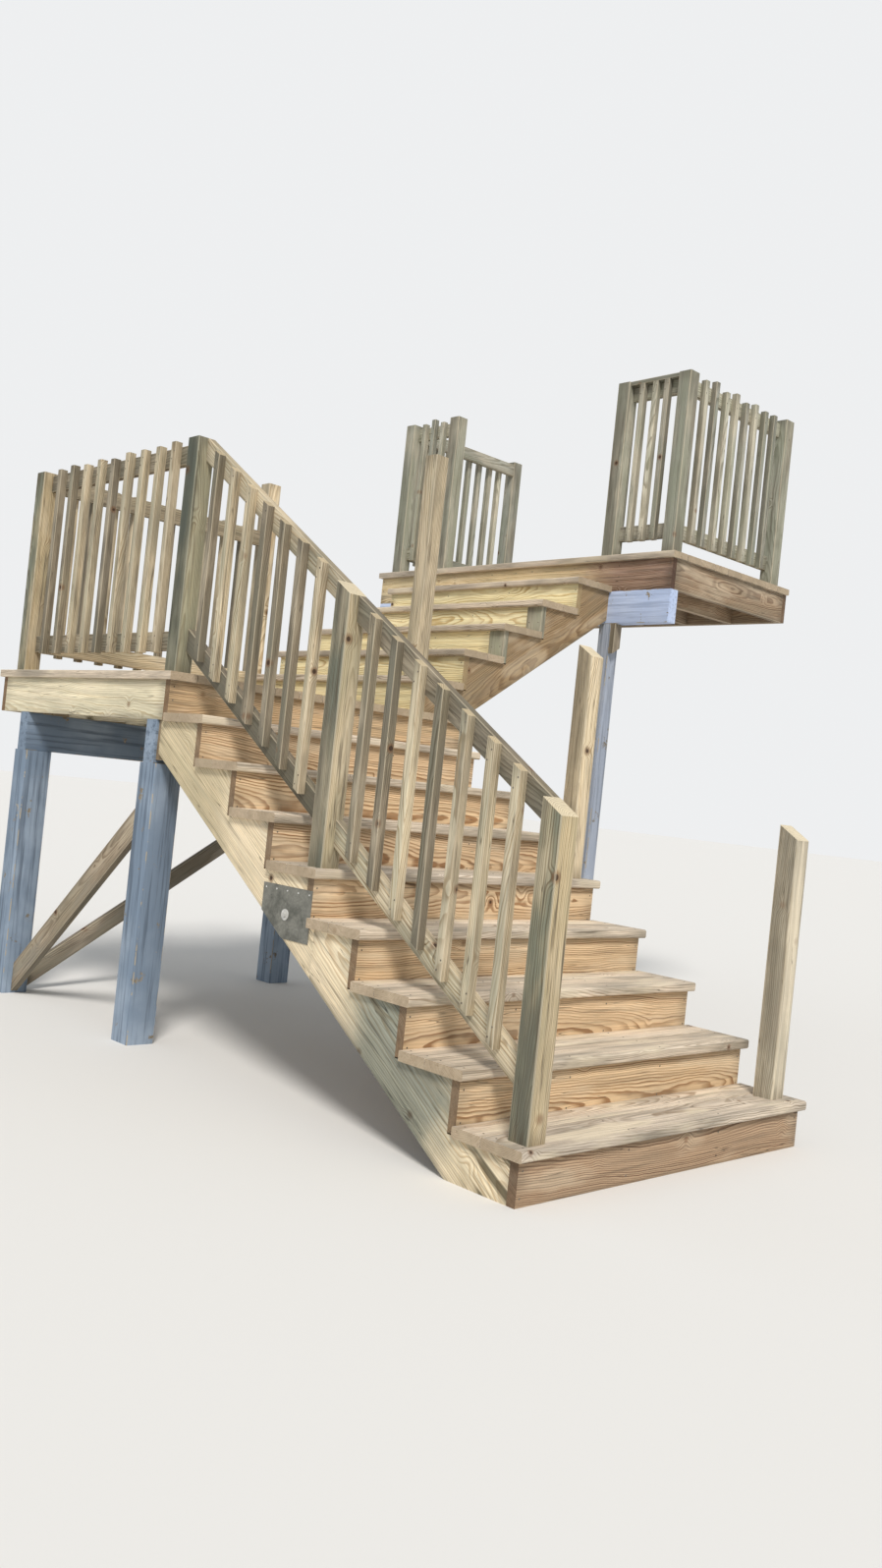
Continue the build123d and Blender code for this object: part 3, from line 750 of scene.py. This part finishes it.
# Pale wood for the landing's end rims, hanger and joists, partly bleached and partly painted sunlight, with
# streaks that stand partly for painted leaf shadow.
bleached_sunlit_rim_wood = pine(
    "bleached_sunlit_rim_pine",
    early=rgb(246, 236, 206),
    late=rgb(198, 174, 132),
    old_early=rgb(232, 218, 186),
    old_late=rgb(182, 158, 118),
    contrast=0.7,
    streaks=0.48,
    grey=0.12,
    green=0.12,
    bleach=0.45,
    end=rgb(110, 86, 62),
)
# Darker wood for the deck's frame and the landing's side rims, partly as painted shade.
frame_wood = pine(
    "frame_pine",
    early=rgb(216, 186, 146),
    late=rgb(146, 110, 74),
    old_early=rgb(166, 142, 116),
    old_late=rgb(108, 80, 58),
    contrast=1.0,
    grey=0.20,
    green=0.08,
    stain=0.45,
    end=RIM_END,
)
for node in ("landing_end_rims", "landing_stringer_hanger", "landing_joists"):
    dress(node, bleached_sunlit_rim_wood, "frame_pine")
deck_rim_wood = pine(
    "deck_rim_pine",
    early=rgb(234, 214, 170),
    late=rgb(168, 130, 84),
    old_early=rgb(226, 204, 162),
    old_late=rgb(160, 124, 80),
    contrast=1.0,
    grey=0.16,
    stain=0.40,
    end=RIM_END,
)
flight_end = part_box("upper_stringer_right")[1].x
brown_stretch = (flight_end - RIM_BLEND, flight_end + PAST_RIM)
# Painted shade: the front rim turns browner past the flight's right end.
stretch_of(deck_rim_wood, *brown_stretch, blur=0.50, amount=1.0, colour=RIM_SHADE_BROWN)
dress("deck_front_rim", deck_rim_wood, "frame_pine")
dress("landing_side_rims", frame_wood, "frame_pine", tones=(FRESH,))
for node in ("deck_ledger", "deck_side_rims", "deck_joists"):
    dress(node, frame_wood, "frame_pine", tones=(OLD,))
for node in ("landing_decking", "deck_decking"):
    dress(node, tread_wood, "tread_pine")

RIM_SHARES = (0.16, 0.5, 0.84)
mesh = bmesh.new()
landing_frame = boards_of("landing_joists", "landing_side_rims", "landing_end_rims")
deck_frame = boards_of("deck_joists", "deck_side_rims", "deck_front_rim", "deck_ledger")
fasten(mesh, boards_of("landing_decking"), landing_frame, ON_TOP)
fasten(mesh, boards_of("deck_decking"), deck_frame, ON_TOP)
make_piece(mesh, "decking_screws", nail_zinc, "galvanised_steel")
mesh = bmesh.new()
left_rim, right_rim = boards_of("landing_side_rims")
landing_bearers = boards_of("landing_joists", "landing_end_rims")
deck_bearers = boards_of("deck_joists", "deck_side_rims")
fasten(mesh, [left_rim], landing_bearers, ON_LEFT, RIM_SHARES)
fasten(mesh, [right_rim], landing_bearers, ON_RIGHT, RIM_SHARES)
fasten(mesh, boards_of("deck_front_rim"), deck_bearers, ON_FRONT, RIM_SHARES)
make_piece(mesh, "rim_nails", nail_zinc, "galvanised_steel")


# Beams, posts and braces
# Older timbers, used again: the beams and posts still have their blue or grey paint, chalky, streaked and
# worn through at the arrises, and the sway braces nailed to the posts are bare and weathered. The
# landing's blue is dark, partly as painted shade, and the deck beam's is pale and bluer, partly as
# painted sunlight and a painted sky reflection.
FLAKES_PER_METRE = 9.0
CHALK_PER_METRE = 2.6
PAINT_RUN = (1.6, 46.0, 46.0)
ARRIS_WEAR = -0.12


# Old timber under paint that is chalky in places, has dirt running along the board, and has come off in
# flakes and along the arrises.
def old_paint(name, paint, chalky, dirty, runny):
    finish = pine(
        name,
        early=rgb(150, 138, 120),
        late=rgb(96, 80, 62),
        old_early=rgb(132, 122, 108),
        old_late=rgb(84, 72, 58),
        contrast=0.7,
        grey=0.5,
        green=0.05,
    )
    tree = finish.node_tree
    shader = shader_of(finish)
    wood = shader.inputs["Base Color"].links[0].from_socket
    relief = shader.inputs["Normal"].links[0].from_node
    height = relief.inputs["Height"].links[0].from_socket
    place = add(tree, "TexCoord", {}, "Object")
    peeling = {"Vector": place, "Scale": FLAKES_PER_METRE, "Detail": 9.0, "Roughness": 0.7}
    flakes = add(tree, "TexNoise", peeling)
    chalk = add(tree, "TexNoise", {"Vector": place, "Scale": CHALK_PER_METRE, "Detail": 4.0})
    runs = streaky(tree, layer(tree, "grain"), PAINT_RUN, 4.0, 0.65)
    arris = split(tree, layer(tree, "cut"))[1]
    cover = ramp(tree, calc(tree, "MULTIPLY_ADD", arris, ARRIS_WEAR, flakes), 0.36, 0.39)
    film = tint(tree, ramp(tree, chalk, 0.35, 0.7), paint, chalky)
    film = tint(tree, ramp(tree, runs, 0.46, 0.66, 0.0, runny), film, dirty)
    tree.links.new(tint(tree, cover, wood, film), shader.inputs["Base Color"])
    raised = calc(tree, "MULTIPLY_ADD", cover, 1.6, calc(tree, "MULTIPLY", height, 0.5))
    tree.links.new(raised, relief.inputs["Height"])
    return finish


# The landing's paint, darker, partly as painted shade.
shaded_blue_paint = old_paint(
    "blue_painted_timber",
    paint=rgb(122, 138, 156),
    chalky=rgb(158, 172, 188),
    dirty=rgb(82, 94, 108),
    runny=0.7,
)
# The deck beam's paint, paler and bluer, partly as painted sunlight and a painted sky reflection.
sunlit_pale_paint = old_paint(
    "sunlit_pale_painted_timber",
    paint=rgb(182, 199, 232),
    chalky=rgb(200, 212, 236),
    dirty=rgb(140, 154, 180),
    runny=0.6,
)
grey_paint = old_paint(
    "grey_painted_timber",
    paint=rgb(158, 166, 180),
    chalky=rgb(178, 184, 194),
    dirty=rgb(116, 122, 132),
    runny=0.7,
)
for node in ("landing_beams", "landing_posts"):
    dress(node, shaded_blue_paint, "blue_painted_timber")
dress("deck_beam", sunlit_pale_paint, "blue_painted_timber")
dress("deck_posts", grey_paint, "blue_painted_timber")
for node in ("landing_braces", "deck_beam_block"):
    dress(node, old_wood, "weathered_timber")


# Newels
# Four-by-four posts of treated pine that stand on the treads and the decking and are nailed there. They
# are tan where the sun reaches them, grey-green with rain stains and painted shade on the damp side, and
# greyer all round on the deck, where they have stood longer. Their tops are fresh saw cuts.
NEWEL_EASE = 0.005
RIGHT_NEWELS_AGE = (0.9, 0.2)
CORNER_NEWEL = (-0.45, 0.10)
CORNER_SHADE_BLUE = rgb(176, 198, 208)
FRESH_CUT = rgb(226, 212, 182)
sunny_newel_wood = pine(
    "sunny_newel_pine",
    early=rgb(230, 212, 180),
    late=rgb(176, 150, 112),
    old_early=rgb(232, 220, 196),
    old_late=rgb(166, 150, 122),
    knots=0.10,
    streaks=0.52,
    grey=0.18,
    green=0.06,
    stain=0.55,
    damp_and_shade=0.30,
    end=FRESH_CUT,
)
# A darker copy of the newel finish for the left and landing newels, heavier on faces turned to -y: partly
# damp, partly painted shade.
shaded_damp_newel_wood = pine(
    "shaded_damp_newel_pine",
    early=rgb(214, 194, 156),
    late=rgb(160, 134, 96),
    old_early=rgb(200, 184, 152),
    old_late=rgb(148, 126, 92),
    knots=0.10,
    streaks=0.50,
    grey=0.20,
    green=0.16,
    stain=0.80,
    damp_and_shade=0.90,
    end=FRESH_CUT,
)
grey_newel_wood = pine(
    "grey_newel_pine",
    early=rgb(182, 180, 162),
    late=rgb(124, 120, 104),
    old_early=rgb(164, 164, 152),
    old_late=rgb(112, 110, 98),
    contrast=0.7,
    grey=0.35,
    green=0.25,
    stain=0.5,
    damp_and_shade=0.25,
    end=rgb(168, 162, 142),
)
for node in ("lower_newels_left", "landing_newels"):
    dress(node, shaded_damp_newel_wood, "newel_pine", NEWEL_EASE)
# Painted bluish shade over the landing's corner newel, partly damp.
stretch_of(shaded_damp_newel_wood, *CORNER_NEWEL, blur=0.10, amount=0.60, colour=CORNER_SHADE_BLUE)
dress("lower_newels_right", sunny_newel_wood, "newel_pine", NEWEL_EASE, RIGHT_NEWELS_AGE)
dress("upper_newels", sunny_newel_wood, "newel_pine", NEWEL_EASE, (FRESH,))
dress("deck_newels", grey_newel_wood, "newel_pine", NEWEL_EASE)


# Raked guard of the lower flight
# Rails on edge between the newels, and two-by-two balusters nailed to their outer faces, with their tops
# sawn in line with the rail. They were set by eye, so the spaces between them differ a little.
RISE = 0.190
RUN = 0.295
SLOPE = RISE / RUN
STICK = 0.038
STICK_EASE = 0.003
RAIL = 0.089
RAKED_RAIL = RAIL * math.sqrt(1 + SLOPE * SLOPE)
RAKED_COUNT = 7
NAIL_SPREAD = 0.009
BY_EYE = 0.004

# Plumb heights over the line of the nosings: the low rail's foot, the balusters' feet, and the top of
# the balusters and of the high rail.
RAKED_FOOT = 0.057
RAKED_BALUSTER = 0.110
RAKED_TOP = 1.045


# A straight stick between two corners, sheared up by rise for each metre that it goes towards -x, and
# sideways by lean for each metre of its height.
def stick(mesh, low, high, rise=0.0, lean=0.0):
    size = Vector(high) - Vector(low)
    middle = (Vector(high) + Vector(low)) / 2
    place = Matrix.Translation(middle) @ Matrix.Diagonal((*size, 1))
    made = bmesh.ops.create_cube(mesh, size=1.0, matrix=place)
    for vert in made["verts"]:
        vert.co.z += (middle.x - vert.co.x) * rise
        vert.co.x += (vert.co.z - middle.z) * lean


# Nails one baluster to one rail with a pair of heads set askew.
def nail_pair(mesh, x, y, z):
    for step in (-1, 1):
        spot = (x + step * NAIL_SPREAD, y, z + step * NAIL_SPREAD * 2)
        head(mesh, spot, FRONT, NAIL, NAIL_HEIGHT)


baluster_wood = pine(
    "baluster_pine",
    early=rgb(230, 213, 180),
    late=rgb(170, 140, 100),
    old_early=rgb(140, 127, 107),
    old_late=rgb(92, 79, 62),
    contrast=0.8,
    spread=0.16,
    streaks=0.50,
    grey=0.22,
    green=0.12,
    stain=0.55,
    damp_and_shade=0.45,
    end=rgb(196, 178, 144),
)
guard_nails = bmesh.new()


# Makes one panel between two newels: a low and a high rail in line with the flight, then the balusters.
def raked_guard(node):
    low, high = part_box(node)
    mesh = bmesh.new()
    face = low.y + STICK
    eye = random.Random(node)

    def height(x, above):
        return low.z - RAKED_FOOT + (high.x - x) * SLOPE + above

    middle = (low.x + high.x) / 2
    rails = (RAKED_FOOT, RAKED_TOP - RAKED_RAIL)
    for above in rails:
        base = height(middle, above)
        stick(mesh, (low.x, face, base), (high.x, high.y, base + RAKED_RAIL), SLOPE)
    pitch = (high.x - low.x) / (RAKED_COUNT + 1)
    for i in range(RAKED_COUNT):
        x = high.x - pitch * (i + 1) + eye.uniform(-BY_EYE, BY_EYE)
        foot = height(x, RAKED_BALUSTER)
        top = height(x, RAKED_TOP)
        lean = eye.uniform(-BY_EYE, BY_EYE)
        stick(mesh, (x - STICK / 2, low.y, foot), (x + STICK / 2, face, top), SLOPE, lean)
        for above in (RAKED_BALUSTER + RAIL / 2, RAKED_TOP - RAKED_RAIL / 2):
            nail_pair(guard_nails, x, low.y, height(x, above))
    mill(mesh, node, STICK_EASE)
    make_piece(mesh, "finished_" + node, baluster_wood, "baluster_pine", node)


raked_guard("lower_railing_foot")
raked_guard("lower_railing_head")
make_piece(guard_nails, "raked_guard_nails", nail_zinc, "galvanised_steel")


# Level guards of the landing and the deck
# The same rails and balusters between level newels. The tops stand a little over the rail, sawn by eye,
# and the short panel at the deck's right front is finished with a flat board.
TRIM_TOPS = (0.011, 0.018, 0.006, 0.015, 0.003, 0.017, 0.013)
ROUGH_TOPS = (0.016, 0.038, 0.008, 0.029, 0.004, 0.024, 0.012)
FLUSH_TOPS = (0.0,)
CAP = 0.025

# Heights over the boards underfoot: the balusters' feet, the low rail's foot and the high rail's top.
LEVEL_FOOT = 0.098
LEVEL_RAIL = 0.111
LEVEL_TOP = 1.077

# The way a panel faces, in degrees from the front.
TO_FRONT = 0.0
TO_LEFT = -90.0
TO_RIGHT = 90.0


# Makes one panel as if it faced the front, then turns it to the left or the right, and sets it in place.
def level_guard(node, count, tops, turn=TO_FRONT, capped=False, finish=baluster_wood):
    low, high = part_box(node)
    floor = low.z - LEVEL_FOOT
    if turn == TO_FRONT:
        start = Vector((low.x, low.y + STICK, floor))
        length = high.x - low.x
    elif turn == TO_LEFT:
        start = Vector((low.x + STICK, high.y, floor))
        length = high.y - low.y
    else:
        start = Vector((high.x - STICK, low.y, floor))
        length = high.y - low.y
    mesh = bmesh.new()
    nails = bmesh.new()
    eye = random.Random(node)
    rails = (LEVEL_RAIL, LEVEL_TOP - RAIL)
    for base in rails:
        stick(mesh, (0, 0, base), (length, STICK, base + RAIL))
    pitch = length / (count + 1)
    for i in range(count):
        x = pitch * (i + 1) + eye.uniform(-BY_EYE, BY_EYE)
        top = LEVEL_TOP + tops[i % len(tops)]
        lean = eye.uniform(-BY_EYE, BY_EYE)
        stick(mesh, (x - STICK / 2, -STICK, LEVEL_FOOT), (x + STICK / 2, 0, top), 0.0, lean)
        for base in rails:
            nail_pair(nails, x, -STICK, base + RAIL / 2)
    if capped:
        stick(mesh, (0, -STICK, LEVEL_TOP), (length, STICK, LEVEL_TOP + CAP))
    place = Matrix.Translation(start) @ Matrix.Rotation(math.radians(turn), 4, "Z")
    for part in (mesh, nails):
        bmesh.ops.transform(part, matrix=place, verts=part.verts)
    mill(mesh, node, STICK_EASE)
    make_piece(mesh, "finished_" + node, finish, "baluster_pine", node)
    make_piece(nails, node + "_nails", nail_zinc, "galvanised_steel")


grey_baluster_wood = pine(
    "grey_baluster_pine",
    early=rgb(194, 190, 172),
    late=rgb(136, 130, 112),
    old_early=rgb(156, 156, 146),
    old_late=rgb(110, 108, 96),
    contrast=0.75,
    spread=0.14,
    streaks=0.45,
    grey=0.3,
    green=0.25,
    stain=0.5,
    end=rgb(172, 164, 142),
)
level_guard("landing_railing_front", count=9, tops=TRIM_TOPS)
level_guard("landing_railing_left", count=10, tops=TRIM_TOPS, turn=TO_LEFT)
level_guard("deck_railing_front_left", count=3, tops=ROUGH_TOPS, finish=grey_baluster_wood)
level_guard("deck_railing_front_right", count=3, tops=FLUSH_TOPS, capped=True, finish=grey_baluster_wood)
level_guard("deck_railing_left", count=8, tops=FLUSH_TOPS, turn=TO_LEFT, finish=grey_baluster_wood)
level_guard("deck_railing_right", count=8, tops=ROUGH_TOPS, turn=TO_RIGHT, finish=grey_baluster_wood)


# Studio
# A pale floor that runs out of sight, a soft high key from the camera's side, and a pale even sky that is
# seen brighter than it lights.
FLOOR_SIZE = 60.0
KEY_STRENGTH = 2.7
KEY_SPREAD = math.radians(14.0)
KEY_COLOUR = (1.0, 0.965, 0.925)
KEY_FROM = (0.60, -0.52, 0.86)
SKY_COLOUR = (0.90, 0.95, 1.0, 1.0)
SKY_STRENGTH = 0.53
BACKDROP_COLOUR = (0.93, 0.94, 0.95, 1.0)
BACKDROP_STRENGTH = 0.92
ground = blank("pale_floor")
coat(ground.node_tree, {"Base Color": rgb(226, 224, 220), "Roughness": 0.9})
mesh = bmesh.new()
bmesh.ops.create_grid(mesh, x_segments=1, y_segments=1, size=FLOOR_SIZE)
floor_data = bpy.data.meshes.new("floor")
mesh.to_mesh(floor_data)
mesh.free()
floor_data.materials.append(ground)
floor = bpy.data.objects.new("floor", floor_data)
bpy.context.scene.collection.objects.link(floor)

sun_data = bpy.data.lights.new("key", "SUN")
sun_data.energy = KEY_STRENGTH
sun_data.angle = KEY_SPREAD
sun_data.color = KEY_COLOUR
sun = bpy.data.objects.new("key", sun_data)
sun.rotation_euler = Vector(KEY_FROM).to_track_quat("Z", "Y").to_euler()
bpy.context.scene.collection.objects.link(sun)

world = bpy.data.worlds.new("studio")
bpy.context.scene.world = world
world.use_nodes = True
sky = world.node_tree
sky.nodes.clear()
seen = add(sky, "LightPath", {}).node
direct = calc(sky, "MAXIMUM", seen.outputs["Is Camera Ray"], seen.outputs["Is Glossy Ray"])
soft = add(sky, "Background", {0: SKY_COLOUR, 1: SKY_STRENGTH})
backdrop = add(sky, "Background", {0: BACKDROP_COLOUR, 1: BACKDROP_STRENGTH})
lit = add(sky, "MixShader", {0: direct, 1: soft, 2: backdrop})
add(sky, "OutputWorld", {0: lit})


# Camera
# It stands where the photograph was taken from, in front of the lower flight and to its left, about as
# high as the seventh step.
SENSOR_HEIGHT = 36.0
LENS = 29.254
SIGHT = 200.0
VIEWPOINT = (4.9147, -5.1965, 1.2937)
VIEW_ANGLES = (90.3506, -5.9544, 46.1143)
camera_data = bpy.data.cameras.new("camera")
camera_data.sensor_fit = "VERTICAL"
camera_data.sensor_height = SENSOR_HEIGHT
camera_data.lens = LENS
camera_data.clip_end = SIGHT
camera = bpy.data.objects.new("camera", camera_data)
camera.location = VIEWPOINT
camera.rotation_euler = [math.radians(angle) for angle in VIEW_ANGLES]
bpy.context.scene.collection.objects.link(camera)
bpy.context.scene.camera = camera
bpy.context.scene.view_settings.view_transform = "Standard"
